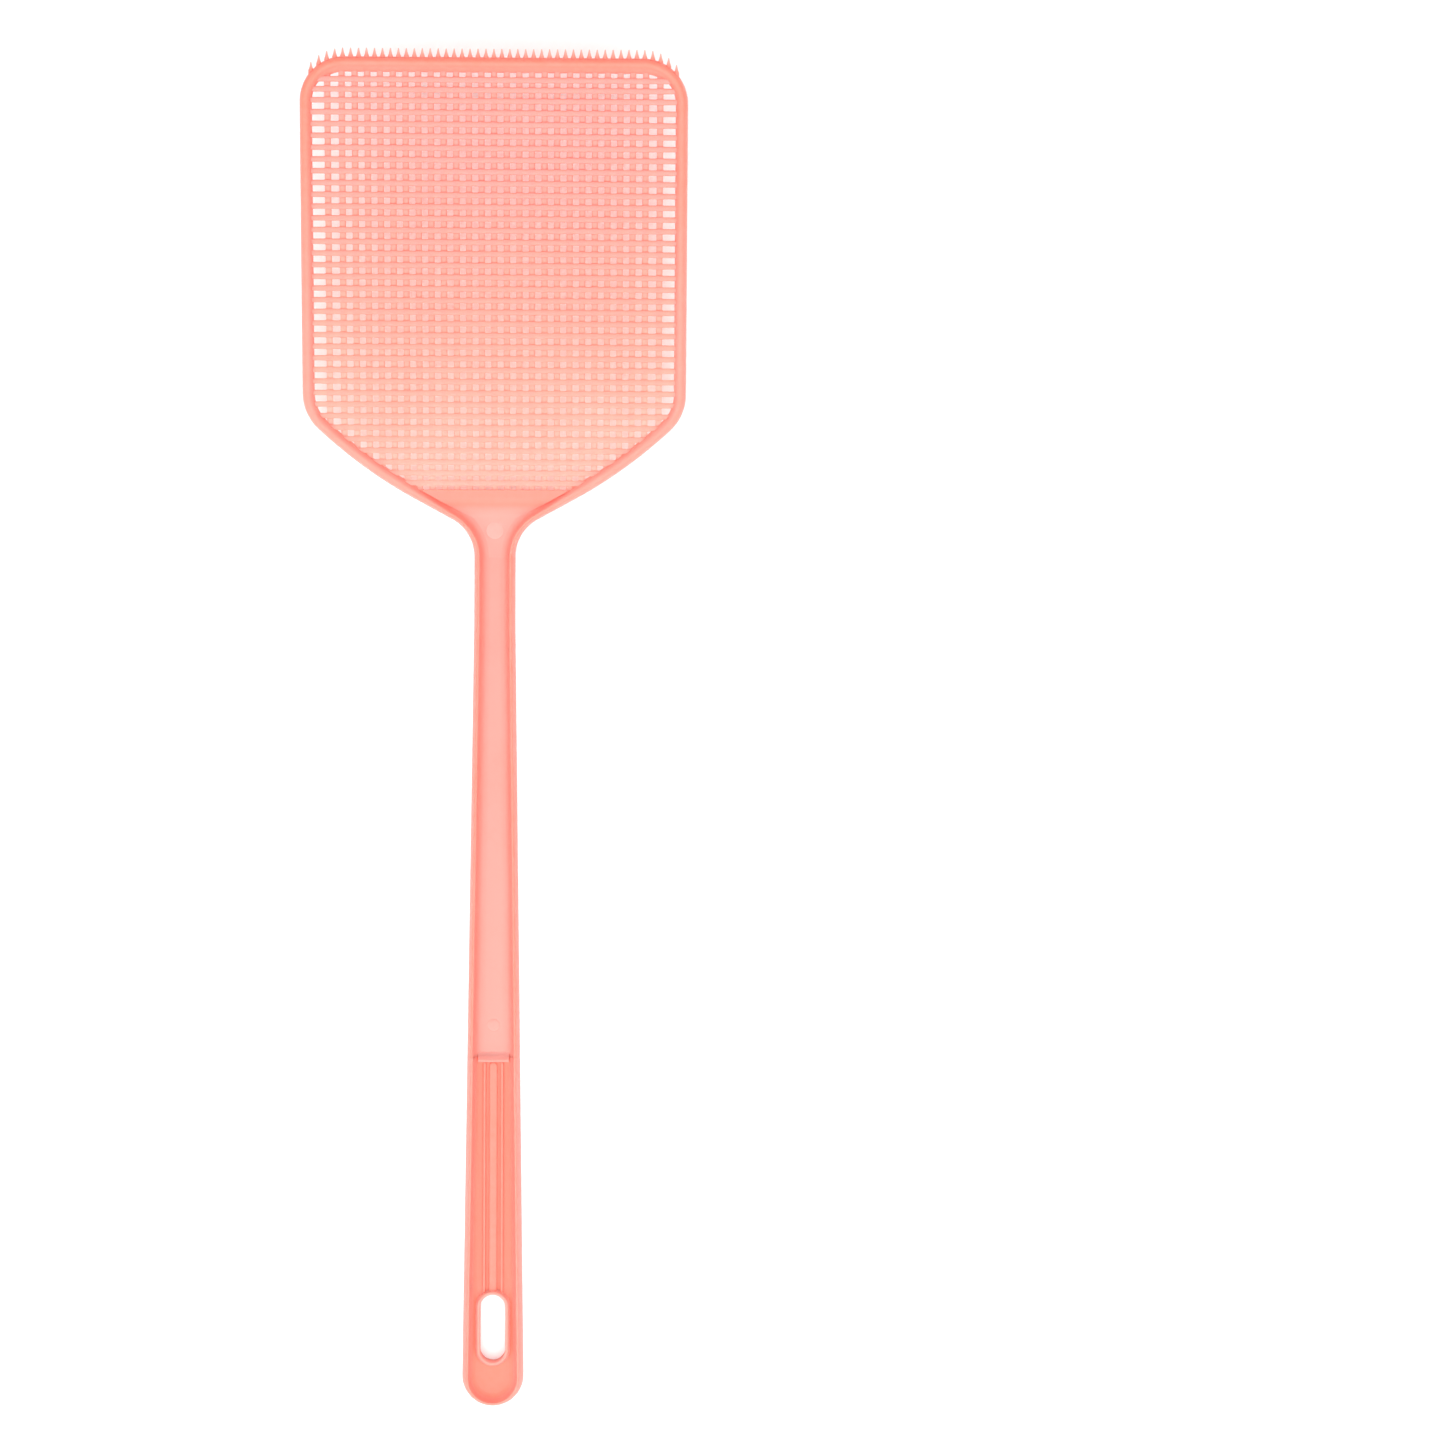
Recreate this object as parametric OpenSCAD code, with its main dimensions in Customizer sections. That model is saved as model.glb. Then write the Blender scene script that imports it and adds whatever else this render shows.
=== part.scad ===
// One-piece moulded fly swatter: a square mesh head on a slim channel-section handle.
// Millimetres. +Y runs from the hang end to the tip of the head, +Z is the open side of the handle.
// The moulding is divided along its own features, so each rib, flange, floor and bar is a solid.

/* [Handle] */
// Length from the hang end to where the head begins
handle_len = 281; // [270:1:300]
// Half width of the handle at the hang end
end_half = 10.1; // [9.5:0.1:10.5]
// Half width of the handle at the neck
neck_half = 6.8; // [6.5:0.1:7.2]
// Height of the two flanges that stand along the edges
flange_h = 6; // [5.5:0.1:7]
// Width of a flange and of the head's rim at the base
flange_w = 4.0; // [3.8:0.1:4.2]
// Thickness of the thin floor between the flanges
floor_t = 1.6; // [1.2:0.1:2]
// Length of the slim neck that bends in use
flex_len = 30; // [24:1:36]

/* [Grip] */
// Distance from the hang end to the raised stop at the top of the grip
grip_top = 116; // [105:1:125]
// Thickness of the floor under the grip's ribs
grip_floor_t = 2.6; // [2.2:0.1:3]
// Height of the grip's lengthwise ribs
grip_rib_h = 3.5; // [3.2:0.1:4.2]
// Width of the rib along the middle of the grip
centre_rib_w = 2.6; // [2.2:0.1:2.8]
// Width of each thin rib beside it
side_rib_w = 0.9; // [0.7:0.1:1.1]
// Distance of each thin rib from the middle
side_rib_x = 2.9; // [2.7:0.1:3.1]

/* [Hang slot] */
// Distance from the hang end to the middle of the slot
slot_mid = 26.4; // [26:0.1:28]
// Length of the slot from end to end
slot_len = 22.3; // [20:0.1:23]
// Width of the slot
slot_w = 8.3; // [7.8:0.1:8.5]
// Thickness of the raised wall round the slot
slot_wall = 1.15; // [0.9:0.05:1.2]
// Height of the raised wall round the slot
slot_ring_h = 5; // [4:0.1:5.5]

/* [Head] */
// Length of the head from the neck to the top of the rim
head_len = 162.5; // [155:0.5:170]
// Width of the head across the rim
head_w = 126; // [122:1:128]
// Angle by which the head leans up from the handle
head_tilt = 8; // [4:1:10]
// Radius of the two top corners
top_corner_r = 14.5; // [12:0.5:16]
// Radius of the two lower corners
low_corner_r = 16; // [14:0.5:18]
// Distance from the neck to where the lower corners begin
low_corner_s = 54; // [52:0.5:58]
// Radius of the long, slightly bowed lower edges
bow_r = 158; // [140:1:180]
// Radius of the two hollow curves that run into the neck
throat_r = 14; // [12:0.5:15]
// Height of the rim's underside
rim_z = 1.8; // [1.4:0.1:2.2]

/* [Mesh] */
// Number of hole columns of the regular width
regular_cols = 24; // [22:2:24]
// Distance between the bars that run up the head
col_pitch = 4.1; // [4:0.05:4.15]
// Distance between the bars that run across the head
row_pitch = 3.77; // [3.7:0.01:3.8]
// Distance between the bars in the rows next to the top and the throat
edge_row_pitch = 3.2; // [3:0.05:3.4]
// Number of hole rows
rows = 37; // [37:1:37]
// Width of a bar that runs up the head
long_bar_w = 2.0; // [1.8:0.05:2.1]
// Width of a bar that runs across the head
cross_bar_w = 1.75; // [1.6:0.05:1.9]
// Thickness of each of the two layers of bars
bar_t = 0.8; // [0.7:0.05:1]
// Height of the mesh's underside
mesh_z = 2.8; // [2.6:0.1:3]

/* [Tip] */
// Number of small spikes along the top of the head
spikes = 47; // [41:2:47]
// Distance between neighbouring spikes
spike_pitch = 2.57; // [2.4:0.01:2.6]
// Length of a spike beyond the rim
spike_len = 2.6; // [2:0.1:3]
// Radius of a spike at the rim
spike_r = 0.55; // [0.4:0.05:0.6]

/* [Hidden] */
$fn = 64;

// Colours: the thick edges read deeper than the thin floors and bars
edge_colour = [0.99, 0.60, 0.52];
floor_colour = [1.00, 0.72, 0.66];
mesh_colour = [0.99, 0.68, 0.61];

// Flange section: a drafted outer flank, a narrow crest and a drafted inner face
flank_base_z = 0.6;
crest_out = 1.7;
crest_in = 2.9;

// Places along the handle
flex_start = handle_len - flex_len;
taper_end = 260;
hang_end_top = 40;
stop_rib_l = 1.6;
grip_floor_end = grip_top - stop_rib_l;
shaft_pad_y = 126.6;
shaft_pad_r = 2;
throat_pad_s = 9;
throat_pad_r = 2.8;
pad_t = 0.3;
web_floor_s = 15.5;
web_ramp_s = 19.5;
web_top_s = 23.2;

// The head leans about the crest line of the neck
pivot_z = flange_h;

// Outline of the head: each arc is a centre, a radius and the angles of its ends
half_w = head_w / 2;
low_turn = 47;
bow_turn = 61;
top_c = [half_w - top_corner_r, head_len - top_corner_r];
low_c = [half_w - low_corner_r, low_corner_s];
bow_c = low_c - (bow_r - low_corner_r) * [cos(low_turn), -sin(low_turn)];
edge_n = [cos(bow_turn), -sin(bow_turn)];
edge_d = edge_n * bow_c + bow_r;
throat_x = neck_half + throat_r;
throat_c = [throat_x, (edge_n[0] * throat_x - edge_d - throat_r) / sin(bow_turn)];

// Columns and rows of holes
second_bar_x = (regular_cols / 2) * col_pitch + 0.1;
outer_bar_x = second_bar_x + 4.65;
edge_rows = 2;
first_row_s = head_len - 5.7;

// The spikes sit a little below the rim's crest
spike_z = 4.0;
spike_tip_r = 0.2;
spike_root = 1.5;

// The origin is at the middle of the whole length
far_y = handle_len + (head_len + spike_len) * cos(head_tilt)
    + (pivot_z - spike_z + spike_tip_r) * sin(head_tilt);
mid_y = far_y / 2;

function arc(c, r, a0, a1, n) =
    [for (i = [0:n]) c + r * [cos(a0 + (a1 - a0) * i / n), sin(a0 + (a1 - a0) * i / n)]];

// Right half of the head's outline, drawn in by a margin, from the top to the neck
function half_outline(m) = concat(
    arc(top_c, top_corner_r - m, 90, 0, 14),
    arc(low_c, low_corner_r - m, 0, -low_turn, 8),
    arc(bow_c, bow_r - m, -low_turn, -bow_turn, 8),
    arc(throat_c, throat_r + m, 180 - bow_turn, 180, 10),
    [[neck_half - m, -10]]
);

function mirrored(p) = [for (i = [len(p) - 1:-1:0]) [-p[i][0], p[i][1]]];

function handle_half(y) =
    end_half - (end_half - neck_half) * (min(y, taper_end) - end_half) / (taper_end - end_half);

// Distance of a row's middle from the neck: three closer rows at the top and two at the throat
function row_s(i) =
    i <= edge_rows ? first_row_s - i * edge_row_pitch
    : i < rows - edge_rows ? row_s(edge_rows) - (i - edge_rows) * row_pitch
    : row_s(rows - edge_rows - 1) - (i - rows + edge_rows + 1) * (edge_row_pitch + 0.1);

function top_edge_s(x) =
    let (over = max(0, abs(x) - top_c[0]))
    top_c[1] + sqrt(top_corner_r * top_corner_r - over * over);

module handle_place() {
    translate([0, -mid_y, 0]) children();
}

module head_place() {
    translate([0, handle_len - mid_y, pivot_z])
        rotate([head_tilt, 0, 0])
            translate([0, 0, -pivot_z]) children();
}

module outline(m) {
    polygon(concat(half_outline(m), mirrored(half_outline(m))));
}

module ring_between(s0, s1, side) {
    intersection() {
        difference() {
            outline(0);
            outline(flange_w);
        }
        translate([side < 0 ? -half_w - 1 : side > 0 ? 0 : -half_w - 1, s0])
            square([side == 0 ? head_w + 2 : half_w + 1, s1 - s0]);
    }
}

// Section of a flange on the +X side: x is measured inwards from the outer edge
module flange_section(w, crest) {
    polygon([
        [0, 0], [0, flank_base_z], [-crest_out, flange_h],
        [-crest, flange_h], [-w, floor_t], [-w, 0]
    ]);
}

module section_at(y, half) {
    translate([half, y, 0])
        rotate([90, 0, 0])
            linear_extrude(0.01, center = true) children();
}

// A flange on the +X side between two places along the handle
module flange(y0, y1, w, crest) {
    hull() {
        section_at(y0 + 0.005, handle_half(y0)) flange_section(w, crest);
        section_at(y1 - 0.005, handle_half(y1)) flange_section(w, crest);
    }
}

// Floor between the flanges
module handle_floor(y0, y1, w, t) {
    linear_extrude(t)
        polygon([
            [handle_half(y0) - w, y0], [handle_half(y1) - w, y1],
            [w - handle_half(y1), y1], [w - handle_half(y0), y0]
        ]);
}

module stadium(w, l) {
    for (side = [-1, 1])
        translate([0, side * (l - w) / 2]) circle(d = w);
    square([w, l - w], center = true);
}

module slot_plan(margin) {
    translate([0, slot_mid]) stadium(slot_w + 2 * margin, slot_len + 2 * margin);
}

module rim_top() {
    color(edge_colour) head_place() translate([0, 0, rim_z])
        linear_extrude(flange_h - rim_z) ring_between(top_c[1], head_len + 1, 0);
}

module rim_left() {
    color(edge_colour) head_place() translate([-half_w, low_corner_s, rim_z])
        cube([flange_w, top_c[1] - low_corner_s, flange_h - rim_z]);
}

module rim_right() {
    color(edge_colour) head_place() translate([half_w - flange_w, low_corner_s, rim_z])
        cube([flange_w, top_c[1] - low_corner_s, flange_h - rim_z]);
}

module rim_lower_left() {
    color(edge_colour) head_place() translate([0, 0, rim_z])
        linear_extrude(flange_h - rim_z) ring_between(web_top_s, low_corner_s, -1);
}

module rim_lower_right() {
    color(edge_colour) head_place() translate([0, 0, rim_z])
        linear_extrude(flange_h - rim_z) ring_between(web_top_s, low_corner_s, 1);
}

module mesh_plan() {
    intersection() {
        outline(flange_w);
        translate([-half_w, web_top_s]) square([head_w, head_len]);
    }
}

// The upper layer: bars across the head, one between each pair of hole rows
module mesh_cross_bars() {
    color(mesh_colour) head_place() translate([0, 0, mesh_z + bar_t])
        linear_extrude(bar_t) intersection() {
            mesh_plan();
            for (i = [0:rows - 2])
                translate([-half_w, (row_s(i) + row_s(i + 1)) / 2 - cross_bar_w / 2])
                    square([head_w, cross_bar_w]);
        }
}

// The lower layer: bars up the head, evenly spaced but for the two at each side
module mesh_long_bars() {
    inner = regular_cols / 2 - 1;
    places = concat(
        [for (i = [-inner:inner]) i * col_pitch],
        [for (side = [-1, 1]) side * second_bar_x],
        [for (side = [-1, 1]) side * outer_bar_x]
    );
    color(mesh_colour) head_place() translate([0, 0, mesh_z])
        linear_extrude(bar_t) intersection() {
            mesh_plan();
            for (x = places)
                translate([x - long_bar_w / 2, 0]) square([long_bar_w, head_len]);
        }
}

// Small tapered spikes that all point the same way, from one top corner to the other
module top_spikes() {
    color(floor_colour) head_place() difference() {
        for (i = [0:spikes - 1])
            let (x = (i - (spikes - 1) / 2) * spike_pitch)
            translate([x, top_edge_s(x) - spike_root, spike_z])
                rotate([-90, 0, 0])
                    cylinder(h = spike_len + spike_root, r1 = spike_r, r2 = spike_tip_r, $fn = 24);
        linear_extrude(flange_h) outline(0);
    }
}

// The solid web steps up from the handle's floor to the level of the mesh
module throat_web() {
    color(floor_colour) head_place() intersection() {
        linear_extrude(flange_h) outline(flange_w);
        rotate([90, 0, 90])
            linear_extrude(head_w, center = true)
                polygon([
                    [0, 0], [0, floor_t], [web_floor_s, floor_t],
                    [web_ramp_s, mesh_z + floor_t], [web_top_s, mesh_z + floor_t],
                    [web_top_s, mesh_z], [web_ramp_s, mesh_z], [web_floor_s, 0]
                ]);
    }
}

module throat_left_flange() {
    color(edge_colour) head_place()
        linear_extrude(flange_h) ring_between(0, web_top_s, -1);
}

module throat_right_flange() {
    color(edge_colour) head_place()
        linear_extrude(flange_h) ring_between(0, web_top_s, 1);
}

module throat_ejector_pad() {
    color(floor_colour) head_place() translate([0, throat_pad_s, floor_t])
        cylinder(h = pad_t, r = throat_pad_r);
}

// The slim neck is cut to the slope of the head at its upper end
module neck_flexure() {
    color(floor_colour) difference() {
        handle_place() {
            handle_floor(flex_start, handle_len + 2, flange_w, floor_t);
            flange(flex_start, handle_len + 2, flange_w, crest_in);
            mirror([1, 0, 0]) flange(flex_start, handle_len + 2, flange_w, crest_in);
        }
        head_place() translate([-half_w, 0, -20]) cube([head_w, 40, 60]);
    }
}

module shaft_floor() {
    color(floor_colour) handle_place()
        handle_floor(grip_top, flex_start, flange_w, floor_t);
}

module shaft_right_flange() {
    color(edge_colour) handle_place() flange(grip_top, flex_start, flange_w, crest_in);
}

module shaft_left_flange() {
    color(edge_colour) handle_place()
        mirror([1, 0, 0]) flange(grip_top, flex_start, flange_w, crest_in);
}

module shaft_ejector_pad() {
    color(floor_colour) handle_place() translate([0, shaft_pad_y, floor_t])
        cylinder(h = pad_t, r = shaft_pad_r);
}

module grip_stop_rib() {
    color(edge_colour) handle_place()
        handle_floor(grip_floor_end, grip_top, flange_w, flange_h);
}

module grip_floor() {
    color(edge_colour) handle_place()
        handle_floor(hang_end_top, grip_floor_end, flange_w, grip_floor_t);
}

module grip_right_flange() {
    color(edge_colour) handle_place()
        flange(hang_end_top, grip_top, flange_w, crest_in);
}

module grip_left_flange() {
    color(edge_colour) handle_place()
        mirror([1, 0, 0]) flange(hang_end_top, grip_top, flange_w, crest_in);
}

module grip_rib(x, w) {
    handle_place() translate([x - w / 2, hang_end_top, grip_floor_t])
        cube([w, grip_floor_end - hang_end_top, grip_rib_h - grip_floor_t]);
}

module grip_centre_rib() {
    color(floor_colour) grip_rib(0, centre_rib_w);
}

module grip_left_rib() {
    color(floor_colour) grip_rib(-side_rib_x, side_rib_w);
}

module grip_right_rib() {
    color(floor_colour) grip_rib(side_rib_x, side_rib_w);
}

module hang_end_floor() {
    color(edge_colour) handle_place() linear_extrude(grip_floor_t)
        difference() {
            union() {
                translate([0, end_half]) circle(r = end_half - flange_w);
                polygon([
                    [end_half - flange_w, end_half], [handle_half(hang_end_top) - flange_w, hang_end_top],
                    [flange_w - handle_half(hang_end_top), hang_end_top], [flange_w - end_half, end_half]
                ]);
            }
            slot_plan(slot_wall);
        }
}

// A U-shaped flange: two straight legs beside the slot, joined round the end of the handle
module hang_end_flange() {
    color(edge_colour) handle_place() {
        flange(end_half, hang_end_top, flange_w, crest_in);
        mirror([1, 0, 0]) flange(end_half, hang_end_top, flange_w, crest_in);
        translate([0, end_half, 0])
            rotate([0, 0, 180])
                rotate_extrude(angle = 180)
                    translate([end_half, 0]) flange_section(flange_w, crest_in);
    }
}

module hang_slot_ring() {
    color(edge_colour) handle_place() linear_extrude(slot_ring_h)
        difference() {
            slot_plan(slot_wall);
            slot_plan(0);
        }
}

rim_top();
rim_left();
rim_right();
rim_lower_left();
rim_lower_right();
mesh_cross_bars();
mesh_long_bars();
top_spikes();
throat_web();
throat_left_flange();
throat_right_flange();
throat_ejector_pad();
neck_flexure();
shaft_floor();
shaft_left_flange();
shaft_right_flange();
shaft_ejector_pad();
grip_stop_rib();
grip_floor();
grip_left_flange();
grip_right_flange();
grip_centre_rib();
grip_left_rib();
grip_right_rib();
hang_end_floor();
hang_end_flange();
hang_slot_ring();
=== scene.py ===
"""One-piece moulded fly swatter, lying open side up on a plain pale floor.

Lengths are millimetres until a mesh is made, which is in metres. The handle is laid out by u, the distance
from its hang end. The head leans up from the neck, and is laid out in its own plane by s, the distance from
the neck. Both use x across and z up, and the CAD's main sizes. Comments say where a shape departs from it.
"""

import math

import bmesh
import bpy
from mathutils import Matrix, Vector


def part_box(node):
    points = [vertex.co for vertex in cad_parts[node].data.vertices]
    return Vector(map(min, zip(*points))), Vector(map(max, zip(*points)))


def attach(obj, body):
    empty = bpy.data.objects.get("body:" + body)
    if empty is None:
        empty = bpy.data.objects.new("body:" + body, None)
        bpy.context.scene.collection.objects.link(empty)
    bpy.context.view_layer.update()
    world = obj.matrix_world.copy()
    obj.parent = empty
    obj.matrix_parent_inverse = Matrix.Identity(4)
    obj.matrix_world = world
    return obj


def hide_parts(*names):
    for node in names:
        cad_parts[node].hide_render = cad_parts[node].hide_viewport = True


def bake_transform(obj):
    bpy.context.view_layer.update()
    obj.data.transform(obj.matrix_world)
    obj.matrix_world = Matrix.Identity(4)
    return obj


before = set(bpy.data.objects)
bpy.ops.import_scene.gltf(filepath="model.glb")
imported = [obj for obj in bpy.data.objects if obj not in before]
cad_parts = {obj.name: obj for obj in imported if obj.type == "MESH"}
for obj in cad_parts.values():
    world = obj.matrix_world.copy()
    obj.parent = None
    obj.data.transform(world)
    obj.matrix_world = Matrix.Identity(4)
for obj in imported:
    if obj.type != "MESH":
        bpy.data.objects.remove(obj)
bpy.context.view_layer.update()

MM = 0.001
HANG_END_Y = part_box("hang_end_flange")[0].y / MM

# Handle
HANDLE_LEN = 281.0
TAPER_END = 260.0
END_HALF = 10.1
NECK_HALF = 6.8
FLEX_START = 251.0
GRIP_TOP = 116.0
GRIP_FLOOR_END = 114.4
HANG_END_TOP = 40.0
FLANGE_H = 6.0
FLOOR_T = 1.6
GRIP_FLOOR_T = 2.6
CENTRE_RIB_W = 2.6
SIDE_RIB_W = 0.9
SIDE_RIB_X = 2.9
GRIP_RIB_H = 3.5
RIB_START = 38.0
RIB_SINK = 0.2
STOP_MARGIN = 3.6
SHAFT_MARK_U = 126.6
SHAFT_MARK_R = 2.0
MARK_H = 0.25

# Hang end. STRAIGHT_HALF is half the length of the slot's straight sides.
SLOT_MID = 26.4
SLOT_LEN = 22.3
SLOT_W = 8.3
STRAIGHT_HALF = (SLOT_LEN - SLOT_W) / 2
PLATE_MARGIN = 3.9
PLATE_UNDER_WALL = 0.5

# Head
TILT = math.radians(8)
HEAD_LEN = 162.5
HALF_W = 63.0
TOP_R = 14.5
LOW_R = 16.0
LOW_S = 54.0
BOW_R = 158.0
THROAT_R = 14.0
LOW_TURN = math.radians(47)
BOW_TURN = math.radians(61)
WEB_MARGIN = 3.55
THROAT_MARK_S = 9.0
THROAT_MARK_R = 2.8

# The web's upper edge is 0.6 lower than in the CAD, and its step is softer.
WEB_TOP_S = 22.6
WEB_STEP_START = 13.0
WEB_STEP_END = 20.0
WEB_SHADE_START = 15.5
WEB_SHADE_END = 18.0

# Mesh
ROWS = 37
EDGE_ROWS = 2
FIRST_ROW_S = HEAD_LEN - 5.7
ROW_PITCH = 3.77
TOP_ROW_PITCH = 3.2
THROAT_ROW_PITCH = 3.3
COL_PITCH = 4.1
SIDE_COL_PITCH = 4.65
SIDE_COL_SHIFT = 0.1
REGULAR_BARS = 11
CROSS_BAR_W = 1.75
LONG_BAR_W = 2.0
CROSS_CROWN = 0.35
LONG_CROWN = 0.4
MESH_Z = 2.8
BAR_T = 0.8
BAR_SINK = 0.1
LONG_BAR_RISE = 0.15
BAR_MARGIN = 3.0
BAR_UNDER_WEB = 0.6
MESH_DEEPEST_S = 145.0

# Spikes
SPIKES = 47
SPIKE_PITCH = 2.57
SPIKE_LEN = 2.6
SPIKE_Z = 4.0
SPIKE_R = 0.48


def handle_point(x, u, z):
    """A point of the handle, in metres."""
    return Vector((x, HANG_END_Y + u, z)) * MM


def head_point(x, s, z):
    """A point of the head, in metres. The head turns up about the line where the neck's flanges end."""
    over = z - FLANGE_H
    y = HANG_END_Y + HANDLE_LEN + s * math.cos(TILT) - over * math.sin(TILT)
    return Vector((x, y, FLANGE_H + s * math.sin(TILT) + over * math.cos(TILT))) * MM


def smooth(a, b, t):
    """0 before a, 1 after b, and a soft step between them."""
    k = min(1.0, max(0.0, (t - a) / (b - a)))
    return k * k * (3 - 2 * k)


def mix(a, b, k):
    """a where k is 0, b where k is 1."""
    return a + (b - a) * k


def handle_half(u):
    """Half width of the handle."""
    return END_HALF - (END_HALF - NECK_HALF) * (min(u, TAPER_END) - END_HALF) / (TAPER_END - END_HALF)


# ---------------------------------------------------------------- outline of the head


def arc(centre, radius, a0, a1, count, inward=-1):
    """Points on an arc with their inward normals: (x, s, nx, ns)."""
    found = []
    for i in range(count + 1):
        a = a0 + (a1 - a0) * i / count
        c, d = math.cos(a), math.sin(a)
        found.append((centre[0] + radius * c, centre[1] + radius * d, inward * c, inward * d))
    return found


def straight(p, q, count):
    """Points between two outline points, without either end."""
    return [tuple(mix(a, b, i / count) for a, b in zip(p, q)) for i in range(1, count)]


def right_outline():
    """Right half of the head's outline, from the neck to the middle of the top."""
    top_c = (HALF_W - TOP_R, HEAD_LEN - TOP_R)
    low_c = (HALF_W - LOW_R, LOW_S)
    over = BOW_R - LOW_R
    bow_c = (low_c[0] - over * math.cos(LOW_TURN), low_c[1] + over * math.sin(LOW_TURN))
    n = (math.cos(BOW_TURN), -math.sin(BOW_TURN))
    edge = n[0] * bow_c[0] + n[1] * bow_c[1] + BOW_R
    throat_x = NECK_HALF + THROAT_R
    throat_c = (throat_x, (n[0] * throat_x - edge - THROAT_R) / math.sin(BOW_TURN))
    neck = [(NECK_HALF, 0.0, -1.0, 0.0)]
    throat = arc(throat_c, THROAT_R, math.pi, math.pi - BOW_TURN, 22, 1)
    bow = arc(bow_c, BOW_R, -BOW_TURN, -LOW_TURN, 12)
    low = arc(low_c, LOW_R, -LOW_TURN, 0, 14)
    top = arc(top_c, TOP_R, 0, math.pi / 2, 22)
    middle = (0.0, HEAD_LEN, 0.0, -1.0)
    return (
        neck + throat + straight(throat[-1], bow[0], 8) + bow + low[1:]
        + straight(low[-1], top[0], 24) + top + straight(top[-1], middle, 12) + [middle]
    )


RIGHT = right_outline()
OUTLINE = RIGHT + [(-x, s, -nx, ns) for x, s, nx, ns in reversed(RIGHT[:-1])]


def margin_line(margin):
    """The right half of the outline, drawn in by a margin, as (x, s) from the neck to the top."""
    return [(x + nx * margin, s + ns * margin) for x, s, nx, ns in RIGHT]


def reading(line, key, value, at):
    """Coordinate `at` of a line where coordinate `key` passes a value."""
    for p, q in zip(line, line[1:]):
        low, high = sorted((p[key], q[key]))
        if low <= value <= high and high > low:
            return mix(p[at], q[at], (value - p[key]) / (q[key] - p[key]))
    raise ValueError(f"the outline does not reach {value}")


def row_s(i):
    """Distance of a hole row's middle from the neck."""
    last = ROWS - EDGE_ROWS - 1
    if i <= EDGE_ROWS:
        return FIRST_ROW_S - i * TOP_ROW_PITCH
    if i <= last:
        return row_s(EDGE_ROWS) - (i - EDGE_ROWS) * ROW_PITCH
    return row_s(last) - (i - last) * THROAT_ROW_PITCH


# ---------------------------------------------------------------- mesh making


SHARP_ANGLE = math.radians(40)


def make(name, verts, faces, thick, edge, material):
    """A closed mesh piece. Each vertex has two numbers that the material reads: depth of colour, for wall
    thickness with painted shade and light, and edge wear.
    """
    mesh = bpy.data.meshes.new(name)
    mesh.from_pydata([tuple(v) for v in verts], [], faces)
    for label, values in (("thick", thick), ("edge", edge)):
        layer = mesh.attributes.new(label, "FLOAT", "POINT")
        layer.data.foreach_set("value", values)
    bm = bmesh.new()
    bm.from_mesh(mesh)
    bmesh.ops.recalc_face_normals(bm, faces=bm.faces)
    bm.to_mesh(mesh)
    bm.free()
    mesh.shade_smooth()
    mesh.set_sharp_from_angle(angle=SHARP_ANGLE)
    mesh.materials.append(material)
    piece = bpy.data.objects.new(name, mesh)
    bpy.context.scene.collection.objects.link(piece)
    return piece


class Solid:
    """Gathers closed parts of one piece."""

    def __init__(self):
        self.verts, self.faces, self.thick, self.edge = [], [], [], []

    def rings(self, rings, thick, edge, loop=False):
        """Closed tube through rings of points, with a row of depths of colour (wall thickness with painted
        shade and light) and a row of edge wear for each ring.
        """
        start, n = len(self.verts), len(rings[0])
        for ring, t, e in zip(rings, thick, edge):
            self.verts += ring
            self.thick += t
            self.edge += e
        pairs = len(rings) if loop else len(rings) - 1
        for i in range(pairs):
            a, b = start + i * n, start + (i + 1) % len(rings) * n
            self.faces += [(a + j, a + (j + 1) % n, b + (j + 1) % n, b + j) for j in range(n)]
        if not loop:
            last = start + (len(rings) - 1) * n
            self.faces += [tuple(range(start, start + n)), tuple(range(last, last + n))]

    def piece(self, name, material):
        return make(name, self.verts, self.faces, self.thick, self.edge, material)


# ---------------------------------------------------------------- materials

THIN = (1.0, 0.45, 0.385, 1)
DEEP = (1.0, 0.305, 0.21, 1)
WORN_AND_LIT = (1.0, 0.60, 0.53, 1)
GLOW = (1.0, 0.47, 0.40, 1)
CORE = (1.0, 0.29, 0.195, 1)


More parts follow.
